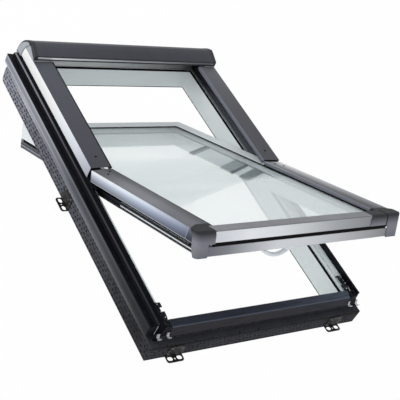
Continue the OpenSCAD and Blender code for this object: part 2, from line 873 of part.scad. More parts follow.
// Bowed lever on a spindle that turns in the base
module handle()
    color(pvc) on_sash()
    translate([0, handle_v, sash_under - base_h - 0.4]) {
        translate([0, 0, -4]) cylinder(h = base_h + 4, r = spindle_r, $fn = 64);
        translate([0, 0, -4]) cylinder(h = 4, r = 10, $fn = 64);
        intersection() {
            translate([-44, 0, grip_r - 22.2]) rotate([90, 180, 0])
                rotate_extrude(angle = 180, $fn = 96)
                translate([grip_r - grip_t / 2, 0]) scale([1, 1.4]) circle(d = grip_t, $fn = 32);
            box([-150, -20, -60], [60, 20, 0]);
        }
    }

frame_side_left();
frame_side_right();
frame_top();
frame_bottom();
sill_cover();
corner_pieces();
corner_clips();
side_rail_left();
side_rail_right();
frame_gasket();
collar_left();
collar_right();
collar_top();
collar_bottom();
cover_carrier_left();
cover_carrier_right();
upper_cover_left();
upper_cover_right();
upper_side_left();
upper_side_right();
hood_cover();
hood_lip();
hood_cap_left();
hood_cap_right();
hood_cheek_left();
hood_cheek_right();
hinge_guide_left();
hinge_guide_right();
striker_left();
striker_right();
end_brackets();
side_brackets();
frame_screws();
sash_side_left();
sash_side_right();
sash_top_rail();
sash_bottom_rail();
outer_pane();
inner_pane();
spacer_frame();
glazing_gasket();
lower_cover_left();
lower_cover_right();
lower_side_left();
lower_side_right();
overlap_rail_left();
overlap_rail_right();
end_cap_left();
end_cap_right();
rail_top_strip();
rail_front_strip();
rail_seal();
apron_rail();
hinge_shoe_left();
hinge_shoe_right();
handle_base();
sash_screws();
lock_rod_left();
lock_rod_right();
handle();
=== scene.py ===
import math

import bpy
from bpy.props import FloatProperty, FloatVectorProperty, PointerProperty
from mathutils import Matrix, Vector


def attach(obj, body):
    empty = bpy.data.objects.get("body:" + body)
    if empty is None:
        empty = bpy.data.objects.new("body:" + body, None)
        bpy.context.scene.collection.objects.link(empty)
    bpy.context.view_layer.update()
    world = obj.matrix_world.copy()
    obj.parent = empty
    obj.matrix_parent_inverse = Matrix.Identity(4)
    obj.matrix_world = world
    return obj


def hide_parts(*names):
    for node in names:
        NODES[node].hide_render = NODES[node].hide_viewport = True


bl_info = {
    "name": "Centre-pivot roof window",
    "version": (1, 0, 0),
    "blender": (4, 5, 0),
    "location": "View3D > Sidebar > Roof window",
    "description": "Dresses a roof window with its seals, screws, handle, finishes and studio",
    "category": "Object",
}

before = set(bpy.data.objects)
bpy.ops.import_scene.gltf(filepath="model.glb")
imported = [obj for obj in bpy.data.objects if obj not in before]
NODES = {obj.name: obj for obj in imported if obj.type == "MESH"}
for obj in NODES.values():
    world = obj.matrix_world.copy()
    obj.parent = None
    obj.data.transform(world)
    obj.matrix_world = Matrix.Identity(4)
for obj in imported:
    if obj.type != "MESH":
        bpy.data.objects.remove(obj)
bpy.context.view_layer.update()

# Sizes repeated from the construction, in metres: x across, y up the roof or v up the sash, z or w out of it
PIVOT = Vector((0, -0.0112, 0.1616))
OPEN = math.radians(28.1)
REVEAL_X, REVEAL_TOP, REVEAL_BOTTOM = 0.330, 0.555, -0.536
SASH_X, SASH_TOP, SASH_LOW, SASH_UNDER = 0.327, 0.5599, -0.515, -0.0905
COVER_IN, COVER_WIDTH, COVER_FALL = 0.300, 0.068, 0.0035
BOLT_V, BOLT_W, HANDLE_V = -0.490, -0.0616, -0.495
SPLIT_UP, SPLIT_LOW, HOOD_FRONT, CAP_SEAM = -0.0072, -0.004, 0.4854, -0.503

# Section of the cover seals: share of their reach inwards, and depth under the cover's crest
COVER_SEAL = ((0, 0.0008), (0.8, 0.0022), (1, 0.0040), (0.75, 0.0105), (1, 0.0112), (1, 0.0130), (0, 0.0130))

# Sections of the strips on the sash's outer face: distance out of the face, and height w
RIBBED_TOP, RIBBED_FOOT = ((-0.0003, -0.0673), (0.0012, -0.0678)), ((0.0012, -0.0755), (-0.0003, -0.0757))
RIB_TOPS = (-0.0694, -0.0716, -0.0738)
RIB = ((0.0012, 0), (0.0005, 0.0003), (0.0005, 0.0009), (0.0012, 0.0012))
LOWER_STRIP = (
    (-0.0036, -0.0841), (-0.0002, -0.0841), (-0.0002, -0.0803), (0.0010, -0.0805), (0.0014, -0.0822),
    (0.0010, -0.0850), (-0.0020, -0.0860), (-0.0020, -0.0880), (-0.0038, -0.0890))
# A dark sheet on the lock groove's floor: painted shade where the groove's white walls lie in shadow
GROOVE_SHADE_SHEET = ((-0.0060, -0.0552), (-0.0056, -0.0552), (-0.0056, -0.0668), (-0.0060, -0.0668))
SEAL_END = ((0.3115, -0.0346), (0.3262, -0.0346), (0.3262, -0.0436), (0.3130, -0.0436), (0.3115, -0.0425))

# Places of the small parts on the right-hand side
RIVET_SEATS = ((0.3485, -0.4845, 0.1080), (0.3485, -0.5100, 0.1080), (0.3420, -0.5285, 0.1057))
SCREW_SEATS = {
    "frame": [(0.331, 0.0388, 0.1624)],
    "sash": [(0.340, -0.053, -0.00246), (0.3215, -0.030, -0.00151)],
}

# The photograph's camera, solved from the frame's straight edges
CAMERA_AT = (-1.7184, -1.6885, 1.8831)
CAMERA_ACROSS = Vector((0.807975, -0.441634, 0.390046))
CAMERA_UP = Vector((0.058425, 0.718761, 0.692798))

# Turns sash coordinates (across, up the sash, out of it) into the frame's
SASH = Matrix.Translation(PIVOT) @ Matrix.Rotation(-OPEN, 4, "X")
HERE = Matrix.Identity(4)
LEFT_HAND = Matrix.Scale(-1, 4, (1, 0, 0))
TO_THE_SIDE = (0, math.radians(90), 0)

# How close counts as at a height, how straight an edge runs, and how squarely a face looks one way
NEAR, STRAIGHT, FACING = 1e-5, 0.99, 0.9


# Modelling steps

def pause():
    """Leaves edit mode and clears the selection."""
    if bpy.context.object and bpy.context.object.mode != "OBJECT":
        bpy.ops.object.mode_set(mode="OBJECT")
    bpy.ops.object.select_all(action="DESELECT")


def only(piece):
    """Selects one piece and makes it the active one."""
    pause()
    piece.select_set(True)
    bpy.context.view_layer.objects.active = piece


def apply_place():
    """Bakes the selected piece's place, turn and size into its mesh."""
    bpy.ops.object.transform_apply(location=True, rotation=True, scale=True)


def begin(name):
    """Names the new primitive and opens it for editing."""
    piece = bpy.context.object
    piece.name = piece.data.name = name
    bpy.ops.object.mode_set(mode="EDIT")
    return piece


def pick_all():
    bpy.ops.mesh.select_all(action="SELECT")


def pick(piece, kind, test):
    """Selects the faces or edges whose middle and direction pass the test."""
    bpy.ops.object.mode_set(mode="OBJECT")
    mesh = piece.data
    for group in (mesh.vertices, mesh.edges, mesh.polygons):
        group.foreach_set("select", [False] * len(group))
    if kind == "FACE":
        for face in mesh.polygons:
            face.select = bool(test(face.center, face.normal))
    else:
        for edge in mesh.edges:
            a, b = (mesh.vertices[i].co for i in edge.vertices)
            edge.select = bool(test((a + b) / 2, (b - a).normalized()))
    bpy.ops.object.mode_set(mode="EDIT")
    bpy.ops.mesh.select_mode(type=kind)


def draw_out(x=0, y=0, z=0):
    """Extrudes what is selected."""
    bpy.ops.mesh.extrude_region_move(TRANSFORM_OT_translate={"value": (x, y, z)})


def settle(piece, place=HERE, smooth=35):
    """Closes the edit, puts the piece in its place and bakes that into its mesh."""
    bpy.context.view_layer.objects.active = piece
    bpy.ops.object.mode_set(mode="EDIT")
    pick_all()
    bpy.ops.mesh.remove_doubles(threshold=1e-6)
    bpy.ops.mesh.normals_make_consistent(inside=False)
    only(piece)
    piece.matrix_world = place @ piece.matrix_world
    apply_place()
    bpy.ops.object.shade_smooth_by_angle(angle=math.radians(smooth))
    pause()
    return piece


def spanned(name, add, low, high):
    """A plane or cube primitive stretched between two corners, open for editing."""
    pause()
    add(size=1, location=[(a + b) / 2 for a, b in zip(low, high)])
    bpy.context.object.scale = [b - a or 1 for a, b in zip(low, high)]
    apply_place()
    return begin(name)


def traced(name, outline, start, end):
    """A section traced corner by corner from one vertex and drawn out along y."""
    pause()
    bpy.ops.mesh.primitive_plane_add(size=0.001, location=(outline[0][0], start, outline[0][1]))
    piece = begin(name)
    bpy.ops.mesh.select_mode(type="VERT")
    pick_all()
    bpy.ops.mesh.merge(type="CENTER")
    for a, b in zip(outline, outline[1:]):
        bpy.ops.mesh.extrude_vertices_move(TRANSFORM_OT_translate={"value": (b[0] - a[0], 0, b[1] - a[1])})
    pick_all()
    bpy.ops.mesh.edge_face_add()
    draw_out(y=end - start)
    return piece


def copied(piece, name, place):
    """A copy with its own mesh, moved to its own place."""
    twin = piece.copy()
    twin.data = piece.data.copy()
    twin.name = twin.data.name = name
    bpy.context.scene.collection.objects.link(twin)
    only(twin)
    twin.matrix_world = place @ twin.matrix_world
    apply_place()
    if place.determinant() < 0:
        bpy.ops.object.mode_set(mode="EDIT")
        pick_all()
        bpy.ops.mesh.normals_make_consistent(inside=False)
    pause()
    return twin


def joined(piece, extra):
    """Makes two finished shapes one piece."""
    only(piece)
    extra.select_set(True)
    bpy.ops.object.join()
    return piece


# Finishes by name, which the finishes operator fills in
MATERIALS = {}


def dress(piece, finish, body, slot, *stands_for):
    """Gives a piece a finish by its name and its body, and hides the nodes it stands for."""
    if finish not in MATERIALS:
        raise RuntimeError("The finishes are made first")
    piece.data.materials.clear()
    piece.data.materials.append(MATERIALS[finish])
    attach(piece, body)
    if stands_for:
        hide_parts(*stands_for)


def dress_both(piece, name, finish, body, slot, *stands_for):
    """Dresses a right-hand piece and its left-hand copy. A {} in a name stands for the side."""
    piece.name = piece.data.name = name.format("right")
    twin = copied(piece, name.format("left"), LEFT_HAND)
    for side, one in (("right", piece), ("left", twin)):
        dress(one, finish, body.format(side), slot, *(node.format(side) for node in stands_for))


# Shader maths

class Value:
    """A socket in an expression: arithmetic on it adds the Math nodes."""

    def __init__(self, shade, socket):
        self.shade, self.socket = shade, socket

    def __add__(self, other):
        return self.shade.maths("ADD", self, other)

    def __sub__(self, other):
        return self.shade.maths("SUBTRACT", self, other)

    def __rsub__(self, other):
        return self.shade.maths("SUBTRACT", other, self)

    def __mul__(self, other):
        return self.shade.maths("MULTIPLY", self, other)

    __radd__, __rmul__ = __add__, __mul__

    def __abs__(self):
        return self.shade.maths("ABSOLUTE", self)

    def above(self, edge, soft=0.0):
        """1 where the value is over the edge, with a soft step where asked."""
        if not soft:
            return self.shade.maths("GREATER_THAN", self, edge)
        return self.shade.node(
            "ShaderNodeMapRange", {"interpolation_type": "SMOOTHSTEP"},
            {"Value": self, "From Min": edge - soft, "From Max": edge + soft})

    def between(self, low, high, soft=0.0):
        """1 where the value lies between two edges."""
        return self.above(low, soft) * (1 - self.above(high, soft))


class Shade:
    """A material or a world under construction."""

    def __init__(self, name, kind="materials"):
        self.made = getattr(bpy.data, kind).new(name)
        self.made.use_nodes = True
        self.tree = self.made.node_tree
        self.tree.nodes.clear()
        self.found = {}

    def node(self, kind, settings=None, values=None, out=0):
        """Any node: its type, its settings, and the values or links of its sockets."""
        node = self.tree.nodes.new(kind)
        for key, value in (settings or {}).items():
            if key == "stops":
                ramp = node.color_ramp
                while len(ramp.elements) < len(value):
                    ramp.elements.new(0.5)
                for element, (at, colour) in zip(ramp.elements, value):
                    element.position, element.color = at, (*colour[:3], 1)
            else:
                setattr(node, key, value)
        for key, value in (values or {}).items():
            socket = node.inputs[key]
            if isinstance(value, Value):
                self.tree.links.new(value.socket, socket)
            elif socket.type == "RGBA":
                socket.default_value = (*value[:3], 1)
            else:
                socket.default_value = value
        return Value(self, node.outputs[out]) if len(node.outputs) else None

    def once(self, name, make):
        """What the make function gives, made the first time it is asked for."""
        if name not in self.found:
            self.found[name] = make()
        return self.found[name]

    def here(self):
        """Object coordinates, which are the frame's own."""
        return self.once("here", lambda: self.node("ShaderNodeTexCoord", {}, {}, "Object"))

    def split(self, where):
        """The three coordinates of a place."""
        across = self.node("ShaderNodeSeparateXYZ", {}, {"Vector": where})
        return [Value(self, socket) for socket in across.socket.node.outputs]

    def fixed(self):
        """The frame's own coordinates: across, up the roof, out of it."""
        return self.once("fixed", lambda: self.split(self.here()))

    def sash(self):
        """The sash's own coordinates: across, up the sash, out of it."""
        return self.once("sash", lambda: self.split(self.node(
            "ShaderNodeMapping", {"vector_type": "TEXTURE"},
            {"Vector": self.here(), "Location": PIVOT, "Rotation": (-OPEN, 0, 0)})))

    def stretched(self, scale, turn=(0, 0, 0)):
        """Object coordinates scaled by a vector, for grain that runs one way."""
        return self.node("ShaderNodeMapping", {}, {"Vector": self.here(), "Scale": scale, "Rotation": turn})

    def noise(self, scale, detail=3.0, rough=0.5, where=None):
        return self.node("ShaderNodeTexNoise", {}, {
            "Vector": where or self.here(), "Scale": scale, "Detail": detail, "Roughness": rough})

    def cells(self, scale, where=None, random=1.0):
        return self.node("ShaderNodeTexVoronoi", {}, {
            "Vector": where or self.here(), "Scale": scale, "Randomness": random})

    def maths(self, operation, *values):
        """A Math node on values or numbers."""
        return self.node("ShaderNodeMath", {"operation": operation}, dict(enumerate(values)))

    def mix(self, share, a, b, blend="MIX"):
        settings = {"data_type": "RGBA", "blend_type": blend}
        return self.node("ShaderNodeMix", settings, {0: share, 6: a, 7: b}, 2)

    def shaded(self, share, tone, *levels):
        """The tone, multiplied by the levels where the share says."""
        return self.mix(share, tone, self.mix(1, tone, shown(*levels), "MULTIPLY"))

    def ramp(self, value, *stops):
        """Colour that changes with a value, from stops in rising order: a place, then levels or a colour."""
        low, high = stops[0][0], stops[-1][0]
        span = high - low
        tones = [((at - low) / span, shown(*levels) if isinstance(levels[0], (int, float)) else levels[0])
                 for at, *levels in stops]
        return self.node("ShaderNodeValToRGB", {"stops": tones}, {"Fac": (value - low) * (1 / span)})

    def transparent(self, colour):
        return self.node("ShaderNodeBsdfTransparent", {}, {"Color": colour})

    def blended(self, share, a, b):
        """Two shaders, the second where the share says."""
        return self.node("ShaderNodeMixShader", {}, {0: share, 1: a, 2: b})

    def seen(self):
        """1 for what the camera, a glossy surface or glass sees directly."""
        path = self.node("ShaderNodeLightPath").socket.node.outputs
        rays = [Value(self, path[f"Is {ray} Ray"]) for ray in ("Camera", "Glossy", "Transmission")]
        return self.maths("MINIMUM", rays[0] + rays[1] + rays[2], 1.0)

    def surface(self, tone, rough, bump=None, metallic=0.0, specular=0.5, **coat):
        """The main shader. The bump is a height, a strength and a distance. Coat sockets go by name."""
        values = {key.replace("_", " "): value for key, value in coat.items()}
        values |= {"Base Color": tone, "Roughness": rough, "Metallic": metallic}
        values["Specular IOR Level"] = specular
        if bump:
            sockets = ("Height", "Strength", "Distance")
            values["Normal"] = self.node("ShaderNodeBump", {}, dict(zip(sockets, bump)))
        return self.node("ShaderNodeBsdfPrincipled", {}, values)

    def finish(self, shader, output="ShaderNodeOutputMaterial"):
        self.node(output, {}, {"Surface": shader})
        return self.made


def shown(*levels):
    """A colour from the levels it is seen at, 0 to 255. One level is a grey."""
    if len(levels) == 1:
        levels = levels * 3
    return [((v / 255 + 0.055) / 1.055) ** 2.4 if v > 10 else v / 255 / 12.92 for v in levels]


def scaled(colour, share):
    return [c * share for c in colour]


# Finishes of the pieces. Places named in them are in metres

def frame_marks(s, tone):
    """Painted shade greys the white faces beside the upper seal towards the hood; above the top seal, painted
    light at the left end fades to painted shade.
    """
    side_seal, top_seal, seal_top = 0.3352, 0.5556, 0.0857
    x, y, z = s.fixed()
    raised = z.above(seal_top, 0.0004)
    beside = y.above(SPLIT_UP) * raised * abs(x).above(side_seal)
    # Painted shade beside the upper seal, darker towards the hood
    sheet = s.ramp(y, (0, 112, 115, 124), (0.3, 96, 99, 107), (0.5, 66, 67, 73))
    # Painted light at the hood's left end, fading to painted shade at the right
    fading = s.ramp(x, (-0.33, 210), (-0.1, 196), (0.1, 160), (0.33, 60))
    return s.mix(y.above(top_seal) * raised, s.mix(beside, tone, sheet), fading)


def sash_marks(s, tone):
    """Black hinge housing on the outer faces, and painted shade that greys the upper ends."""
    outer_face, housing_low, housing_top, ends_from, ends_under = 0.3202, -0.118, 0.06, 0.3, -0.0575
    _, v, w = s.sash()
    outer = abs(s.fixed()[0]).above(outer_face)
    ends = v.above(ends_from) * (1 - w.above(ends_under)) * outer
    # Painted shade on the upper ends, which swing in under the frame
    tone = s.mix(ends * 0.75, tone, shown(96, 98, 106))
    return s.mix(v.between(housing_low, housing_top) * outer, tone, shown(9, 9, 12))


def white_profile(name, colour, marks_and_shade):
    """Extruded white profile: faint die lines, a little mottling, satin."""
    s = Shade(name)
    cloud = s.noise(9, 3)
    fine = s.noise(1500, 2)
    lines = s.noise(1, 2, where=s.stretched((900, 6, 900)))
    # The marks include painted shade on the frame and on the sash
    tone = marks_and_shade(s, s.mix(cloud * 0.5, colour, scaled(colour, 0.94)))
    return s.finish(s.surface(
        tone, rough=0.34 + cloud * 0.12, specular=0.4, bump=(lines * 0.7 + fine * 0.3, 0.12, 0.0004)))


def foam_pits(s, end_face):
    """Rows of staggered pits, and torn slashes on the upper half."""
    per_metre, per_metre_up, pit_size = 72, 60, 0.295
    x, y, z = s.fixed()
    row = z * per_metre + 0.7
    step = s.maths("FLOOR", row) * 0.5
    rows = s.node("ShaderNodeCombineXYZ", {}, {
        "X": x * per_metre + 0.69 + step * end_face,
        "Y": y * per_metre_up + 0.37 + step * (1 - end_face), "Z": row})
    pits = s.cells(1, where=rows, random=0.36)
    hole = (1 - pits.above(pit_size, 0.05)) * s.noise(48, 2).above(0.2, 0.05)
    slash = s.noise(1, 2, where=s.stretched((260, 46, 120), (0.62, 0, 0))).above(0.66, 0.015)
    return s.maths("MAXIMUM", hole, slash * y.above(0.02, 0.2) * 0.85)


def bead_foam(name, colour, dark):
    """Moulded bead foam with staggered pits and torn slashes. Painted shade darkens the hollows, painted
    light pales it towards the upper end, and a painted highlight runs along the chamfer.
    """
    end_y, shadow_y, shadow_z, edge_low, edge_top, edge_x = -0.586, -0.5855, 0.041, 0.0505, 0.0575, 0.391
    s = Shade(name)
    x, y, z = s.fixed()
    beads = s.cells(230)
    cloud = s.noise(14, 4)
    mark = foam_pits(s, 1 - y.above(end_y))
    # Painted light: the foam grows paler towards the upper end
    tone = s.ramp(y, *[(at, scaled(colour, share)) for at, share in (
        (-0.6, 0.28), (-0.5, 0.12), (-0.3, 0.35), (0, 0.66), (0.3, 1.15), (0.42, 1.7), (0.6, 2.3))])
    shadow = (1 - y.above(shadow_y)) * z.above(shadow_z, 0.004)
    tone = s.mix(shadow * 0.85, tone, scaled(colour, 0.06))
    tone = s.shaded(cloud * 0.8, tone, 196)
    tone = s.mix(beads * 0.5, tone, s.mix(1, tone, tone, "ADD"))
    # Painted highlight along the chamfer, brighter towards the upper end
    edge = z.between(edge_low, edge_top, 0.0006) * abs(x).above(edge_x)
    pale = s.ramp(
        y, (-0.58, 50), (-0.4, 100), (0, 134, 135, 142), (0.2, 130, 131, 138), (0.4, 190, 192, 199),
        (0.6, 120))
    # Pits and slashes are painted near black: painted shade in the hollows
    tone = s.mix(mark * (1 - edge), s.mix(edge * 0.8, tone, pale), dark)
    return s.finish(s.surface(
        tone, rough=0.62 + cloud * 0.25, specular=0.12, bump=(1 - mark - beads * 0.3, 0.6, 0.0016)))


def black_rail(name, colour):
    """Black extruded plastic. Painted light makes the skirt outside grey, paler towards the upper end and in
    bands, and a painted highlight runs along the ridge.
    """
    skirt_x, skirt_top, ridge_x, ridge_z = 0.3944, 0.0940, 0.3665, 0.1014
    s = Shade(name)
    x, y, z = s.fixed()
    lines = s.noise(1, 3, where=s.stretched((1200, 5, 1200)))
    dust = s.noise(22, 5, 0.65)
    # Painted light on the skirt: near black at the lower end, pale at the upper end
    skirt_painted_light = s.ramp(
        y, (-0.58, 26, 28, 36), (-0.4, 52, 53, 59), (-0.2, 86, 86, 95), (0, 99, 102, 110),
        (0.2, 156, 160, 166), (0.4, 174, 177, 185), (0.6, 168, 171, 185))
    # Painted highlight bands across the skirt's height
    steps = s.ramp(z, (0.060, 255), (0.067, 255), (0.0705, 205), (0.084, 200), (0.0875, 245), (0.096, 235))
    # Painted highlight along the ridge, brighter towards the upper end
    ridge_highlight = s.ramp(
        y, (-0.54, 40), (-0.4, 54, 55, 60), (-0.2, 66, 66, 72), (0, 60, 60, 66), (0.2, 92, 92, 100),
        (0.4, 140, 142, 150), (0.6, 150, 150, 158))
    tone = s.mix(dust.above(0.6, 0.1) * 0.3, colour, shown(34, 36, 42))
    outside = abs(x).above(skirt_x) * (1 - z.above(skirt_top, 0.0003))
    crest = abs(x).above(ridge_x) * z.above(ridge_z, 0.0006)
    tone = s.mix(outside, tone, s.mix(1, skirt_painted_light, steps, "MULTIPLY"))
    tone = s.mix(crest * (0.7 + lines * 0.4), tone, ridge_highlight)
    return s.finish(s.surface(tone, rough=0.4 + dust * 0.25, specular=0.1, bump=(lines, 0.2, 0.0004)))


def sill_paint(name, colour, warm):
    """Blue-black stove paint, browner on the front face; painted sheen pales the top and greys the front
    towards the right, and a painted highlight runs along the fold.
    """
    front_top, fold_low, fold_top = 0.1022, 0.1018, 0.1036
    s = Shade(name)
    x, _, z = s.fixed()
    streak = s.noise(1, 4, where=s.stretched((14, 260, 260)))
    # Painted sheen: the top pales and the front greys towards the right
    top = s.ramp(x, (-0.34, colour), (0, colour), (0.18, 56, 61, 74), (0.34, 70, 79, 91))
    front = s.mix(x.above(0.1, 0.2) * 0.5, warm, shown(42, 47, 56))
    tone = s.mix(1 - z.above(front_top, 0.0006), top, front)
    tone = s.mix(streak.above(0.56, 0.1) * 0.5, tone, shown(24, 25, 30))
    # Painted highlight along the fold
    tone = s.mix(z.between(fold_low, fold_top, 0.0004) * 0.5, tone, shown(96, 102, 118))
    return s.finish(s.surface(
        tone, rough=0.42 + streak * 0.25, specular=0.12, bump=(s.noise(700, 2), 0.1, 0.0003)))


def cover_paint(name, along, across, sash=True):
    """Anthracite metallic paint: fine flakes under a satin coat, with soft reflections painted in by the
    ramps along and across.
    """
    s = Shade(name)
    x, v, _ = s.sash() if sash else s.fixed()
    cloud = s.noise(1, 3, where=s.stretched((26, 5, 26)))
    tone = s.mix(1, s.ramp(v, *along), s.ramp(x, *across), "MULTIPLY")
    tone = s.mix(s.noise(2600, 1).above(0.58, 0.05) * 0.25, tone, s.mix(1, tone, tone, "ADD"))
    return s.finish(s.surface(
        s.shaded(cloud * 0.3, tone, 210), metallic=0.3, rough=0.48 + cloud * 0.12,
        specular=0.25, bump=(s.noise(420, 2), 0.08, 0.0003)))


def bright_sheet(name, tone_and_reflection_of, scale, sheen=0.85):
    """Silver aluminium brushed across its length."""
    s = Shade(name)
    brush = s.noise(1, 3, 0.6, where=s.stretched(scale))
    # Most tone functions paint reflection and light into the colour; the spacer's is its own even grey
    return s.finish(s.surface(
        s.shaded(brush * 0.34, tone_and_reflection_of(s), 214), metallic=sheen,
        rough=0.36 + brush * 0.14 + s.noise(6, 2) * 0.06, bump=(brush, 0.12, 0.0003)))


def upper_tone(s):
    """Painted reflection: bright at the hood, greyer towards the hinge."""
    y = s.fixed()[1]
    return s.ramp(y, (0, 190, 194, 206), (0.1, 232, 236, 246), (0.2, 248, 252, 255), (0.3, 255), (0.6, 255))


def lower_tone(s):
    """Painted reflection that falls off towards the cap and the lower edge; a painted highlight on the hem,
    and on a raised corner a painted highlight on its crease and painted shade on its facet.
    """
    hem_top, corner_at, crease_to, rise_v, rise_w = -0.0371, -0.4925, -0.4905, 0.958, 0.285
    _, v, w = s.sash()
    level = s.ramp(
        v, (-0.54, 130, 134, 146), (-0.48, 170, 175, 190), (-0.4, 202, 207, 218), (-0.3, 232, 237, 247),
        (-0.2, 247, 252, 255), (0, 255))
    fade = s.ramp(
        w, (-0.0372, 134, 138, 148), (-0.033, 144, 149, 160), (-0.020, 194, 201, 216),
        (-0.010, 243, 247, 255), (-0.004, 252, 254, 255))
    slope = v * rise_v + w * rise_w
    # Painted shade on the corner's facet, below the crease
    tone = s.shaded(1 - slope.above(corner_at, 0.0006), s.mix(1, level, fade, "MULTIPLY"), 196)
    # Painted highlight along the crease
    tone = s.mix(slope.between(corner_at, crease_to, 0.0004) * 0.5, tone, shown(200, 203, 212))
    # Painted highlight along the hem
    return s.mix((1 - w.above(hem_top, 0.0002)) * 0.8, tone, shown(205, 208, 216))


def strip_tone(s):
    """Even sheet whose reflection rises from the left end and falls to the right."""
    return s.ramp(
        s.fixed()[0], (-0.335, 212, 217, 223), (-0.2, 240, 243, 248), (-0.1, 232, 236, 240),
        (0, 209, 213, 216), (0.1, 178, 181, 186), (0.25, 145, 148, 151))


def apron_tone(s):
    """Painted reflection: dark at the cap, pale in the middle, grey at the right."""
    return s.ramp(
        s.fixed()[0], (-0.335, 118, 119, 129), (-0.27, 138, 140, 147), (-0.2, 181, 184, 189),
        (-0.1, 221, 224, 229), (0, 218, 221, 226), (0.1, 203, 206, 211), (0.2, 180, 181, 184),
        (0.33, 142, 143, 146))


def lip_tone(s):
    """Painted light: white at the left end of the hood, fading along it."""
    return s.ramp(
        s.fixed()[0], (-0.354, 255), (-0.31, 240), (-0.2, 214, 216, 220), (0, 172, 173, 178),
        (0.354, 136, 136, 140))


def spacer_tone(s):
    """Even grey of mill-finished aluminium."""
    return shown(183, 191, 195)


def moulded_cap(name, colour):
    """Moulded plastic with a fine grain; painted light makes it dark on top and paler down the front."""
    s = Shade(name)
    grain = s.noise(1100, 3)
    drawn = s.noise(1, 3, where=s.stretched((420, 60, 60)))
    # Painted light and shade: the tone rises and falls with height out of the sash
    tone = s.ramp(s.sash()[2], *[(at, scaled(colour, share)) for at, share in (
        (-0.075, 1.2), (-0.045, 1.7), (-0.030, 1.6), (-0.016, 0.8), (-0.006, 0.2), (0, 0.11))])
    return s.finish(s.surface(
        s.shaded(s.noise(16, 3) * 0.4 + drawn * 0.35, tone, 190), rough=0.5 + grain * 0.16,
        specular=0.2, bump=(grain, 0.25, 0.0004)))


def hood_end(name, colour, rim, edge):
    """Grained end of the hood: pale facets outside an edge, dark rim inside it."""
    s = Shade(name)
    grain = s.noise(1300, 3)
    outer = abs(s.fixed()[0]).above(edge)
    tone = s.mix(outer, rim, s.mix(s.noise(30, 3) * 0.3, colour, scaled(colour, 0.8)))
    return s.finish(s.surface(
        tone, metallic=outer * 0.4, rough=0.44 + grain * 0.14, specular=0.25, bump=(grain, 0.2, 0.0004)))


def seal_rubber(name, colour, lit=None):
    """Black rubber with a bloom of pale dust. A lit tone shows where its flank faces the sky."""
    split, foot_z, foot_w = -0.007, 0.1525, -0.0105
    s = Shade(name)
    bloom = s.noise(30, 4)
    tone = s.mix(bloom.above(0.6, 0.15) * 0.2, colour, [c + 0.012 for c in colour])
    if lit:
        (x, y, z), w = s.fixed(), s.sash()[2]
        upper = y.above(split)
        foot = upper * (1 - z.above(foot_z, 0.0003))
        foot_low = (1 - upper) * (1 - w.above(foot_w, 0.0003))
        tone = s.mix(x.above(0) * (1 - foot) * (1 - foot_low), tone, lit)
    return s.finish(s.surface(
        tone, rough=0.62 + bloom * 0.2, specular=0.1, bump=(s.noise(900), 0.15, 0.0003)))


def ribbed_seal(name, colour, pale):
    """Dark ribbed plastic along the sash, greyer at the upper end."""
    rib_turns, tooth_turns = 2800, 1500
    s = Shade(name)
    _, v, w = s.sash()
    ribs, teeth = s.maths("SINE", w * rib_turns), s.maths("SINE", v * tooth_turns)
    cloud = s.noise(20, 3)
    tone = s.mix(v.above(0.3, 0.25), colour, pale)
    tone = s.mix(cloud * 0.4, tone, scaled(colour, 0.6))
    tone = s.mix(ribs.above(0.55, 0.2) * 0.25, tone, pale)
    return s.finish(s.surface(
        tone, rough=0.5 + cloud * 0.2, specular=0.12, bump=(ribs * 0.5 + teeth * 0.25, 0.4, 0.0004)))


def plain_steel(name, colour):
    """Zinc-plated steel: cloudy, lightly scratched."""
    s = Shade(name)
    cloud = s.noise(45, 4)
    scratch = s.noise(1, 2, where=s.stretched((2200, 90, 2200)))
    return s.finish(s.surface(
        s.mix(cloud, colour, scaled(colour, 0.72)), metallic=1.0, rough=0.3 + cloud * 0.2,
        bump=(scratch, 0.12, 0.0003)))


def black_steel(name, colour, worn=0.66):
    """Black-coated steel with worn, brighter spots."""
    s = Shade(name)
    wear = s.noise(150, 5, 0.6).above(worn, 0.03)
    return s.finish(s.surface(
        s.mix(wear, colour, shown(150, 148, 150)), metallic=wear * 0.7, rough=0.42 + wear * 0.15,
        specular=0.15, bump=(s.noise(500), 0.12, 0.0004)))


def glass(s, through, gloss_tone, streaks, rough, sheen, haze=0.0):
    """A see-through shader under a thin gloss that grows at flat angles."""
    gloss = s.surface(gloss_tone, rough=rough + streaks * 0.04, specular=0.5)
    edge_on = s.node("ShaderNodeFresnel", {}, {"IOR": 1.5})
    return s.finish(s.blended(edge_on * sheen + haze, through, gloss))


def clear_glass(name, colour):
    """Plain clear pane."""
    s = Shade(name)
    return glass(s, s.transparent(colour), shown(225, 232, 232), s.noise(5, 3), 0.03, 0.1)


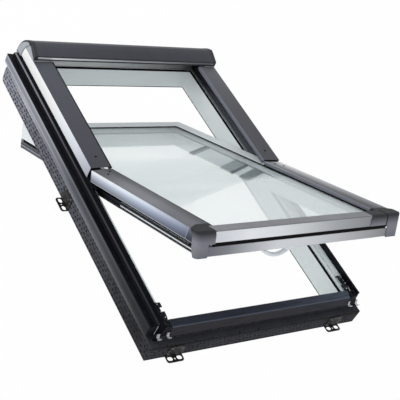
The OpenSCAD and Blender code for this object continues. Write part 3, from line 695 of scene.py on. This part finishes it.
def coated_glass(name, colour):
    """Coated outer pane: grey-green above with streaks, a clear lower field and dark patches of painted
    reflection.
    """
    line_low, line_top, corner_v, field_top = 0.334, 0.343, -0.13, -0.19
    right_from, band_low, band_top = 0.339, 0.118, 0.246
    field, pale_field, lower_field, right_field, line_share = 0.223, 0.099, 0.071, 0.163, 0.305
    green, grey = (0.5, 0.6, 0.595), (0.16, 0.20, 0.225)
    s = Shade(name)
    x, v, _ = s.sash()
    streaks = s.noise(1, 3, 0.5, where=s.stretched((1.4, 9, 9), (0.49, 0, 0)))
    side, bend = x * 1.9 - v, v - x * 0.5
    beyond = side.above(right_from, 0.002)
    share = s.ramp(v, *[(at, [level] * 3) for at, level in (
        (-0.4, field), (-0.1, 0.251), (0.08, 0.213), (0.16, pale_field), (0.27, pale_field), (0.29, 0.198),
        (0.42, 0.183), (0.5, 0.26))])
    lower = bend.between(-1, field_top, 0.003) * (1 - (v - x * 1.9).above(0.9)) * (1 - beyond)
    right = beyond * (1 - v.above(-0.12, 0.03))
    line = side.between(line_low, line_top, 0.002) * (1 - v.above(corner_v))
    for level, where in (
            (pale_field, streaks.above(0.5, 0.14) * 0.5), (lower_field, lower), (right_field, right),
            (line_share, line * 0.8)):
        share = share + (level - share) * where
    # The dark patches are painted reflection: grey let through the glass in slanted bands
    band, mirrored, dark = x.between(band_low, band_top, 0.001), v - x * 0.6 + 0.072, 0
    for low, high, level in ((0.161, 0.190, 0.54), (-0.060, 0.012, 0.45), (-0.142, -0.092, 0.70),
                             (-0.060, -0.046, 0.91), (0.176, 0.190, 0.75)):
        patch = mirrored.between(low, high, 0.002) * band * (0.55 + streaks * 0.5)
        dark = dark + (level - dark) * patch
    tinted = s.blended(share, s.transparent(colour), s.transparent(green))
    haze = right * 0.26 + (x * 0.62 + v).above(0.24, 0.06) * 0.1 + 0.03
    through = s.blended(dark, tinted, s.transparent(grey))
    return glass(s, through, shown(244, 248, 249), streaks, 0.04, 0.2, haze)


def gloss_white(name, colour):
    """Polished white moulding with a clear coat."""
    s = Shade(name)
    cloud = s.noise(60, 2)
    return s.finish(s.surface(
        s.mix(cloud * 0.4, colour, scaled(colour, 0.9)), rough=0.22 + cloud * 0.1,
        Coat_Weight=0.4, Coat_Roughness=0.1, bump=(s.noise(300), 0.04, 0.0003)))


def studio_floor(name, colour):
    """Pale floor that shows white to the camera and still takes a shadow."""
    white_share = 0.97
    s = Shade(name)
    matt = s.surface(
        s.mix(s.noise(3, 2) * 0.1, colour, scaled(colour, 0.97)), rough=0.9, specular=0.1)
    white = s.node("ShaderNodeEmission", {}, {"Color": (1, 1, 1), "Strength": 1.0})
    return s.finish(s.blended(s.seen() * white_share, matt, white))


def studio_sky(name, colour, strength):
    """Even light from all round, which shows plain white where it is seen directly."""
    s = Shade(name, "worlds")
    lit = s.node("ShaderNodeBackground", {}, {"Color": colour, "Strength": strength})
    white = s.node("ShaderNodeBackground", {}, {"Color": (1, 1, 1), "Strength": 1.0})
    return s.finish(s.blended(s.seen(), lit, white), "ShaderNodeOutputWorld")


# Settings

def tint(name, words, default):
    return FloatVectorProperty(
        name=name, description=words, default=default, subtype="COLOR", size=3, min=0, max=1)


def number(name, words, default, low, high, **kind):
    return FloatProperty(name=name, description=words, default=default, min=low, max=high, **kind)


LENGTH, POWER = {"subtype": "DISTANCE", "unit": "LENGTH"}, {"unit": "POWER"}


class RoofWindowColours(bpy.types.PropertyGroup):
    """Colours of the window's finishes."""
    profile: tint("Profiles", "White plastic of the frame and sash", (0.80, 0.845, 0.85))
    foam: tint("Collar", "Bead foam of the insulation collar, halfway up", (0.122, 0.125, 0.148))
    rail: tint("Rails", "Black plastic of the side rails", (0.0035, 0.0038, 0.006))
    cap: tint("Caps", "Moulded caps of the sash's lower corners", (0.150, 0.153, 0.175))
    hood_end: tint("Hood ends", "Pale outer facets of the hood's end caps", (0.42, 0.44, 0.48))
    sill: tint("Sill", "Painted cover of the bottom member", (0.019, 0.023, 0.034))
    handle: tint("Handle", "White moulding of the handle", (0.80, 0.83, 0.85))
    glass: tint("Glass", "Tint of light that passes the outer pane's face", (1.0, 1.0, 1.0))


class RoofWindowSizes(bpy.types.PropertyGroup):
    """Sizes of the small parts that this script adds."""
    seal_round: number(
        "Seal rounding", "Radius on the top edges of the frame seal", 0.0018, 0.0005, 0.0025, **LENGTH)
    cover_seal: number(
        "Cover seal", "How far the seals reach in from the covers", 0.0062, 0.003, 0.008, **LENGTH)
    screw_radius: number(
        "Screw head radius", "Radius of the cover screws' heads", 0.0035, 0.0025, 0.005, **LENGTH)
    grip_depth: number(
        "Grip depth", "How far the handle's bow hangs below its hub", 0.0222, 0.012, 0.024, **LENGTH)


class RoofWindowStudio(bpy.types.PropertyGroup):
    """Light and view."""
    lens: number(
        "Lens", "Focal length of the camera on a 36 mm sensor", 83.47, 30, 200, subtype="DISTANCE_CAMERA")
    sky: number("Sky", "Strength of the even light from all round", 0.85, 0, 2, subtype="FACTOR")
    key: number(
        "Key light", "Power of the soft light above the left side, in watts", 26, 0, 200, **POWER)
    side: number(
        "Side light", "Power of the low light in front of the left side, in watts", 6, 0, 200, **POWER)
    floor_depth: number(
        "Floor depth", "Depth of the floor under the frame's underside", 0.46, 0.42, 1, **LENGTH)


def colours():
    return bpy.context.scene.roof_window_colours


def sizes():
    return bpy.context.scene.roof_window_sizes


# Which node wears which finish

def cover_finishes():
    """Paints of the covers and the hood, each with the covers that wear it. Their ramps paint reflection,
    highlight and shade along and across.
    """
    even = ((-0.37, 255), (0.37, 255))
    # Across the lower left cover: painted reflection, with painted shadow along the inner edge
    left = ((-0.368, 232), (-0.362, 255), (-0.335, 255), (-0.312, 206), (-0.303, 196), (-0.300, 120))
    # Across the lower right cover: a painted highlight on the inner fold and a bright painted rim outside
    right = (
        (0.300, 150, 158, 172), (0.3008, 190, 194, 204), (0.3016, 230), (0.304, 104),
        (0.318, 148), (0.342, 214), (0.360, 255), (0.368, 255))
    upper_right = ((0.300, 240, 246, 255), (0.3008, 255), (0.3016, 255), (0.3024, 240), (0.368, 240))
    hood = ((-0.354, 255), (-0.2, 255), (0, 232), (0.354, 240))
    strip = ((-0.32, 255), (-0.1, 248), (0.1, 255), (0.26, 240))
    return {
        "upper_left": (cover_paint(
            "upper_cover_paint", ((0, 66, 67, 74), (0.49, 82, 84, 92)), even,
            sash=False), "upper_cover_left"),
        "upper_right": (cover_paint(
            "upper_cover_paint_right", ((0, 76, 76, 82), (0.25, 84, 84, 90), (0.49, 104, 105, 111)),
            upper_right, sash=False), "upper_cover_right"),
        "lower_left": (cover_paint(
            "lower_cover_paint", (
                (-0.53, 104, 107, 112), (-0.4, 110, 112, 118), (-0.3, 128, 130, 136), (-0.16, 124, 126, 131),
                (-0.06, 98, 99, 105), (-0.02, 90, 91, 96)), left), "lower_cover_left"),
        "lower_right": (cover_paint(
            "lower_cover_paint_right", (
                (-0.53, 108, 111, 116), (-0.4, 146, 148, 153), (-0.3, 166, 168, 172), (-0.16, 188, 189, 193),
                (-0.05, 212, 213, 216), (0, 216, 217, 221)), right), "lower_cover_right"),
        "hood": (cover_paint(
            "hood_paint", ((0.485, 56, 56, 61), (0.491, 66, 67, 74), (0.52, 70, 71, 78), (0.6, 96, 96, 102)),
            hood, sash=False), "hood_cover"),
        # The top strip's paler tone is painted light, where it tilts towards the lamps
        "rail_top": (cover_paint(
            "rail_top_paint", ((-0.56, 128, 129, 134), (-0.52, 128, 129, 134)), strip), "rail_top_strip"),
    }


def window_finishes(c):
    """Every finish by its name, with the construction's nodes that wear it. A * stands for left and right."""
    lengthwise, crosswise = (60, 1500, 60), (1500, 60, 60)
    rim, end_edge, cheek_edge = shown(50, 50, 54), 0.3690, 0.3600
    return {
        "frame_profile": (white_profile("white_frame_profile", c.profile, frame_marks),
                          "frame_side_*", "frame_top", "frame_bottom"),
        "sash_profile": (white_profile("white_sash_profile", c.profile, sash_marks),
                         "sash_side_*", "sash_top_rail", "sash_bottom_rail"),
        # The foam's last colour is painted shade for its pits and slashes
        "foam": (bead_foam("collar_foam", c.foam, shown(10, 10, 13)),
                 "collar_*", "collar_top", "collar_bottom"),
        "rail": (black_rail("black_side_rail", c.rail), "side_rail_*", "corner_pieces"),
        "sill": (sill_paint("sill_paint", c.sill, shown(44, 42, 47)), "sill_cover"),
        "rubber": (seal_rubber("seal_rubber", shown(8)),
                   "frame_gasket", "glazing_gasket", "rail_seal", "overlap_rail_*"),
        "cover_seal": (seal_rubber("cover_seal_rubber", shown(8, 9, 12), shown(112, 115, 124)),),
        "ribbed": (ribbed_seal("ribbed_sash_seal", shown(46, 47, 54), shown(100, 103, 112)),),
        "cap": (moulded_cap("sash_cap_grain", c.cap), "end_cap_*"),
        "hood_cap": (hood_end("hood_cap_grain", c.hood_end, rim, end_edge), "hood_cap_*"),
        "hood_cheek": (hood_end("hood_cheek_grain", c.hood_end, rim, cheek_edge), "hood_cheek_*"),
        "upper_side": (bright_sheet("upper_side_sheet", upper_tone, lengthwise, 0.45), "upper_side_*"),
        "lower_side": (bright_sheet("lower_side_sheet", lower_tone, lengthwise), "lower_side_*"),
        "strip": (bright_sheet("front_strip_sheet", strip_tone, crosswise), "rail_front_strip"),
        "apron": (bright_sheet("apron_sheet", apron_tone, crosswise), "apron_rail"),
        "lip": (bright_sheet("hood_lip_sheet", lip_tone, crosswise), "hood_lip"),
        "spacer": (bright_sheet("spacer_aluminium", spacer_tone, (500, 500, 500), 0.6),
                   "cover_carrier_*", "spacer_frame"),
        "steel": (plain_steel("zinc_steel", shown(200, 200, 204)), "corner_clips"),
        "black_steel": (black_steel("black_hardware", shown(14, 14, 17)), "striker_*", "hinge_guide_*",
                        "hinge_shoe_*", "lock_rod_*", "frame_screws", "sash_screws"),
        "bracket": (black_steel("bracket_coating", shown(30, 28, 28), 0.64), "end_brackets", "side_brackets"),
        "outer_glass": (coated_glass("coated_glass", c.glass), "outer_pane"),
        "inner_glass": (clear_glass("clear_glass", shown(254, 255, 255)), "inner_pane"),
        "handle": (gloss_white("handle_white", c.handle), "handle_base", "handle"),
        **cover_finishes(),
    }


# Operators

class ROOFWINDOW_OT_finishes(bpy.types.Operator):
    """Makes the finishes and puts them on the construction's own parts"""
    bl_idname = "roof_window.finishes"
    bl_label = "Finishes"

    def execute(self, context):
        dressed = set()
        for finish, (material, *names) in window_finishes(colours()).items():
            MATERIALS[finish] = material
            for name in names:
                for full in sorted({name.replace("*", side) for side in ("left", "right")}):
                    node = NODES[full]
                    node.data.materials.clear()
                    node.data.materials.append(material)
                    dressed.add(full)
        bare = set(NODES) - dressed
        if bare:
            raise RuntimeError(f"No finish for {sorted(bare)}")
        return {"FINISHED"}


def ring_seal(name, low, high, width, base, height, rounding, place=HERE):
    """A rectangular seal with mitred corners and a rounded top."""
    piece = spanned(name, bpy.ops.mesh.primitive_plane_add, (*low, base), (*high, base))
    pick_all()
    bpy.ops.mesh.inset(thickness=width)
    bpy.ops.mesh.delete(type="ONLY_FACE")
    pick_all()
    draw_out(z=height)
    top = base + height
    pick(piece, "EDGE", lambda m, d: abs(m.z - top) < NEAR and (abs(d.x) > STRAIGHT or abs(d.y) > STRAIGHT))
    bpy.ops.mesh.bevel(offset=rounding, segments=4)
    return settle(piece, place)


class ROOFWINDOW_OT_seals(bpy.types.Operator):
    """Models the seals of the frame and of the glass, and the strip under the frame's inner edge"""
    bl_idname = "roof_window.seals"
    bl_label = "Seals"

    def execute(self, context):
        out, sill_out = 0.0059, 0.0049
        seal = ring_seal(
            "frame_seal", (-REVEAL_X - out, REVEAL_BOTTOM - sill_out), (REVEAL_X + out, REVEAL_TOP + out),
            width=0.0052, base=0.079, height=0.0060, rounding=sizes().seal_round)
        dress(seal, "rubber", "frame", "rubber_seal", "frame_gasket")
        inset, sill_inset = 0.0272, 0.0063
        bead = ring_seal(
            "glass_bead", (-SASH_X + inset, SASH_LOW - sill_inset), (SASH_X - inset, SASH_TOP - inset),
            width=0.0042, base=-0.0159, height=0.0021, rounding=0.0009, place=SASH)
        dress(bead, "rubber", "sash", "rubber_seal", "glazing_gasket")
        out = 0.004
        under = ring_seal(
            "reveal_edge_strip", (-REVEAL_X - out, REVEAL_BOTTOM - out), (REVEAL_X + out, REVEAL_TOP + out),
            width=0.0038, base=0.0036, height=0.0034, rounding=0.0007)
        dress(under, "rubber", "frame", "rubber_seal")
        return {"FINISHED"}


class ROOFWINDOW_OT_cover_seals(bpy.types.Operator):
    """Models the soft seals on the covers' inner edges"""
    bl_idname = "roof_window.cover_seals"
    bl_label = "Cover seals"

    def execute(self, context):
        reach, cap_gap, lip_share = sizes().cover_seal, 0.0006, 0.7
        frame_crest, sash_crest = 0.1640, -0.0004
        for body, start, end, crest, place in (
                ("frame", SPLIT_UP, HOOD_FRONT, frame_crest, HERE),
                ("sash", CAP_SEAM + cap_gap, SPLIT_LOW, sash_crest, SASH)):
            section = [(COVER_IN - reach * share, crest - drop) for share, drop in COVER_SEAL]
            piece = traced(f"{body}_cover_seal", section, start, end)
            pick(piece, "EDGE", lambda m, d: abs(d.y) > STRAIGHT and m.x < COVER_IN - reach * lip_share)
            bpy.ops.mesh.bevel(offset=0.0006, segments=2)
            dress_both(settle(piece, place), body + "_cover_seal_{}", "cover_seal", body, "rubber_seal")
        return {"FINISHED"}


class ROOFWINDOW_OT_sash_strips(bpy.types.Operator):
    """Models the ribbed strips on the sash's outer faces, and a dark sheet of painted shade in the lock
    groove
    """
    bl_idname = "roof_window.sash_strips"
    bl_label = "Sash strips"

    def execute(self, context):
        ribs = [(out, top - drop) for top in RIB_TOPS for out, drop in RIB]
        low_gap, top_gap = 0.004, 0.002
        # The groove's dark sheet is painted shade
        for name, section, finish in (
                ("ribbed_strip", [*RIBBED_TOP, *ribs, *RIBBED_FOOT], "ribbed"),
                ("lower_strip", LOWER_STRIP, "ribbed"), ("groove_liner", GROOVE_SHADE_SHEET, "rubber")):
            outline = [(SASH_X + out, w) for out, w in section]
            piece = settle(traced(name, outline, SASH_LOW + low_gap, SASH_TOP - top_gap), SASH, smooth=25)
            dress_both(piece, name + "_{}", finish, "sash", "rubber_seal")
        front, back = -0.552, -0.540
        end = traced("seal_end", SEAL_END, front, back)
        pick(end, "EDGE", lambda m, d: abs(d.y) < 0.01 and m.y < front + 0.001)
        bpy.ops.mesh.bevel(offset=0.0006, segments=2)
        dress(settle(end, SASH), "rubber", "sash", "rubber_seal")
        return {"FINISHED"}


def rod_bar():
    """Flat bar of the right lock rod, with its sunk slots."""
    slots, slot_half, slot_rim, slot_deep = (-0.44, -0.30, -0.16), 0.009, 0.0026, 0.0008
    low, high = (SASH_X - 0.0054, SASH_LOW + 0.010, -0.066), (SASH_X - 0.0026, -0.060, -0.056)
    rod = spanned("lock_rod_bar", bpy.ops.mesh.primitive_cube_add, low, high)
    pick(rod, "EDGE", lambda m, d: abs(d.y) > STRAIGHT)
    bpy.ops.mesh.bevel(offset=0.0006, segments=2)
    for slot in slots:
        for cut in (slot - slot_half, slot + slot_half):
            pick_all()
            bpy.ops.mesh.bisect(plane_co=(0, cut, 0), plane_no=(0, 1, 0))
        pick(rod, "FACE", lambda m, n: n.x > FACING and abs(m.y - slot) < slot_half - 0.001)
        bpy.ops.mesh.inset(thickness=slot_rim)
        draw_out(-slot_deep)
    return settle(rod)


def headed_bolt():
    """Round bolt of the right lock, with a dished head."""
    pause()
    bpy.ops.mesh.primitive_cylinder_add(
        vertices=40, radius=0.004, depth=0.0210, location=(SASH_X + 0.0065, BOLT_V, BOLT_W),
        rotation=TO_THE_SIDE)
    apply_place()
    bolt = begin("lock_bolt")
    pick(bolt, "FACE", lambda m, n: n.x > FACING)
    bpy.ops.mesh.inset(thickness=0.0009)
    bpy.ops.transform.translate(value=(0.0005, 0, 0))
    bpy.ops.mesh.inset(thickness=0.0012)
    draw_out(-0.0008)
    return settle(bolt)


def keep_rivet():
    """Low domed rivet, standing at the origin."""
    pause()
    bpy.ops.mesh.primitive_uv_sphere_add(segments=24, ring_count=12, radius=0.0022, location=(0, 0, 0))
    rivet = begin("keep_rivet")
    pick_all()
    bpy.ops.mesh.bisect(plane_co=(0, 0, -0.0001), plane_no=(0, 0, 1), clear_inner=True, use_fill=True)
    pick_all()
    bpy.ops.transform.resize(value=(1, 1, 0.6))
    return settle(rivet)


class ROOFWINDOW_OT_locks(bpy.types.Operator):
    """Models the lock rods with their headed bolts, and the rivets of the keeps"""
    bl_idname = "roof_window.locks"
    bl_label = "Locks"

    def execute(self, context):
        rod = settle(joined(rod_bar(), headed_bolt()), SASH)
        dress_both(rod, "lock_rod_detailed_{}", "black_steel", "lock_rod_{}", "hardware_steel", "lock_rod_{}")
        rivet = keep_rivet()
        for i, seat in enumerate(RIVET_SEATS):
            right = copied(rivet, "keep_rivet_set", Matrix.Translation(seat))
            dress_both(right, f"keep_rivet_{{}}_{i}", "steel", "frame", "hardware_steel")
        bpy.data.objects.remove(rivet)
        return {"FINISHED"}


def handle_bow(under, middle):
    """Slim bow of the handle, spun from an oval end and cut off level with its seat."""
    radius, tube, steps = 0.0685, 0.006, 40
    half = math.radians(56)
    centre = Vector((middle, HANDLE_V, under - sizes().grip_depth + radius + tube))
    lowest = centre - Vector((0, 0, radius))
    pause()
    bpy.ops.mesh.primitive_circle_add(
        vertices=28, radius=tube, fill_type="NGON", location=lowest, rotation=TO_THE_SIDE)
    apply_place()
    grip = begin("handle_grip")
    pick_all()
    bpy.ops.transform.resize(value=(1, 1.4, 1), center_override=lowest)
    bpy.ops.transform.rotate(value=half, orient_axis="Y", center_override=centre)
    bpy.ops.object.mode_set(mode="OBJECT")
    # Without a window the end is turned the other way, so the spin follows from where it landed
    landed = sum(v.co.x for v in grip.data.vertices) / len(grip.data.vertices)
    bpy.ops.object.mode_set(mode="EDIT")
    pick_all()
    bpy.ops.mesh.spin(steps=steps, angle=2 * half, center=centre, axis=(0, 1 if landed < middle else -1, 0))
    pick_all()
    bpy.ops.mesh.bisect(plane_co=(0, 0, under), plane_no=(0, 0, 1), clear_outer=True, use_fill=True)
    return settle(grip)


def handle_hub(under):
    """Round hub that the handle turns on."""
    thick = 0.0040
    pause()
    bpy.ops.mesh.primitive_cylinder_add(
        vertices=48, radius=0.0100, depth=thick, location=(0, HANDLE_V, under - thick / 2))
    hub = begin("handle_hub")
    pick(hub, "FACE", lambda m, n: n.z < -FACING)
    bpy.ops.mesh.bevel(offset=0.0009, segments=3)
    return settle(hub)


class ROOFWINDOW_OT_handle(bpy.types.Operator):
    """Models the handle: a slim bow under a round hub"""
    bl_idname = "roof_window.handle"
    bl_label = "Handle"

    def execute(self, context):
        base_depth, middle = 0.0084, -0.044
        under = SASH_UNDER - base_depth
        grip = settle(joined(handle_bow(under, middle), handle_hub(under)), SASH)
        dress(grip, "handle", "handle", "white_handle", "handle")
        return {"FINISHED"}


def socket_screw(r):
    """Domed socket screw, standing at the origin."""
    head = 0.0012
    pause()
    bpy.ops.mesh.primitive_cylinder_add(vertices=32, radius=r, depth=head, location=(0, 0, head / 2))
    screw = begin("cover_screw")
    pick(screw, "FACE", lambda m, n: n.z > FACING)
    bpy.ops.mesh.inset(thickness=r * 0.2)
    bpy.ops.transform.translate(value=(0, 0, 0.0004))
    bpy.ops.mesh.inset(thickness=r * 0.32)
    draw_out(z=-head)
    return settle(screw)


class ROOFWINDOW_OT_screws(bpy.types.Operator):
    """Models one domed socket screw and sets a copy at each place on the covers"""
    bl_idname = "roof_window.screws"
    bl_label = "Cover screws"

    def execute(self, context):
        screw = socket_screw(sizes().screw_radius)
        tilt = Matrix.Rotation(math.atan(COVER_FALL / COVER_WIDTH), 4, "Y")
        for body, place in (("frame", HERE), ("sash", SASH)):
            for i, seat in enumerate(SCREW_SEATS[body]):
                right = copied(screw, "cover_screw_set", place @ Matrix.Translation(seat) @ tilt)
                name = f"{body}_screw_{{}}_{i}"
                dress_both(right, name, "black_steel", body, "hardware_steel", f"{body}_screws")
        bpy.data.objects.remove(screw)
        return {"FINISHED"}


class ROOFWINDOW_OT_studio(bpy.types.Operator):
    """Sets the pale floor, soft light and the camera"""
    bl_idname = "roof_window.studio"
    bl_label = "Studio"

    def execute(self, context):
        studio = context.scene.roof_window_studio
        pause()
        bpy.ops.mesh.primitive_plane_add(size=24, location=(0, 0, -studio.floor_depth))
        floor = begin("studio_floor")
        pick_all()
        bpy.ops.mesh.subdivide(number_cuts=3)
        floor = settle(floor)
        floor.data.materials.append(studio_floor("studio_floor", (0.9, 0.9, 0.9)))
        context.scene.world = studio_sky("studio_sky", (0.97, 0.98, 1.0), studio.sky)
        for name, place, aim, width, watts in (
                ("key_light", (-2.2, 1.4, 2.4), (-0.2, 0.2, 0.1), 1.8, studio.key),
                ("side_light", (-2.8, -1.2, 0.6), (-0.3, -0.1, 0.1), 1.6, studio.side)):
            bpy.ops.object.light_add(type="AREA", location=place)
            lamp = context.object
            lamp.name = name
            lamp.data.size = width
            lamp.data.energy = watts
            lamp.rotation_euler = (Vector(aim) - Vector(place)).to_track_quat("-Z", "Y").to_euler()

        bpy.ops.object.camera_add(location=CAMERA_AT)
        camera = context.object
        camera.name = "photo_camera"
        back = CAMERA_ACROSS.cross(CAMERA_UP)
        camera.rotation_euler = Matrix((CAMERA_ACROSS, CAMERA_UP, back)).transposed().to_euler()
        camera.data.lens = studio.lens
        camera.data.sensor_width = 36
        camera.data.clip_start = 0.05
        camera.data.clip_end = 100
        context.scene.camera = camera
        context.scene.view_settings.view_transform = "Standard"
        return {"FINISHED"}


class ROOFWINDOW_PT_panel(bpy.types.Panel):
    """Settings and steps of the roof window"""
    bl_idname = "ROOFWINDOW_PT_panel"
    bl_label = "Roof window"
    bl_space_type = "VIEW_3D"
    bl_region_type = "UI"
    bl_category = "Roof window"

    def draw(self, context):
        scene = context.scene
        for group in (scene.roof_window_colours, scene.roof_window_sizes, scene.roof_window_studio):
            box = self.layout.box()
            for key in group.__annotations__:
                box.prop(group, key)
        for step in STEPS:
            self.layout.operator(step.bl_idname)


STEPS = (
    ROOFWINDOW_OT_finishes, ROOFWINDOW_OT_seals, ROOFWINDOW_OT_cover_seals, ROOFWINDOW_OT_sash_strips,
    ROOFWINDOW_OT_locks, ROOFWINDOW_OT_handle, ROOFWINDOW_OT_screws, ROOFWINDOW_OT_studio)
GROUPS = {
    "roof_window_colours": RoofWindowColours,
    "roof_window_sizes": RoofWindowSizes,
    "roof_window_studio": RoofWindowStudio,
}


def register():
    for cls in (*GROUPS.values(), *STEPS, ROOFWINDOW_PT_panel):
        bpy.utils.register_class(cls)
    for key, cls in GROUPS.items():
        setattr(bpy.types.Scene, key, PointerProperty(type=cls))


def unregister():
    for key in GROUPS:
        delattr(bpy.types.Scene, key)
    for cls in reversed((*GROUPS.values(), *STEPS, ROOFWINDOW_PT_panel)):
        bpy.utils.unregister_class(cls)


def main():
    register()
    for step in STEPS:
        group, name = step.bl_idname.split(".")
        getattr(getattr(bpy.ops, group), name)()


if __name__ == "__main__":
    main()
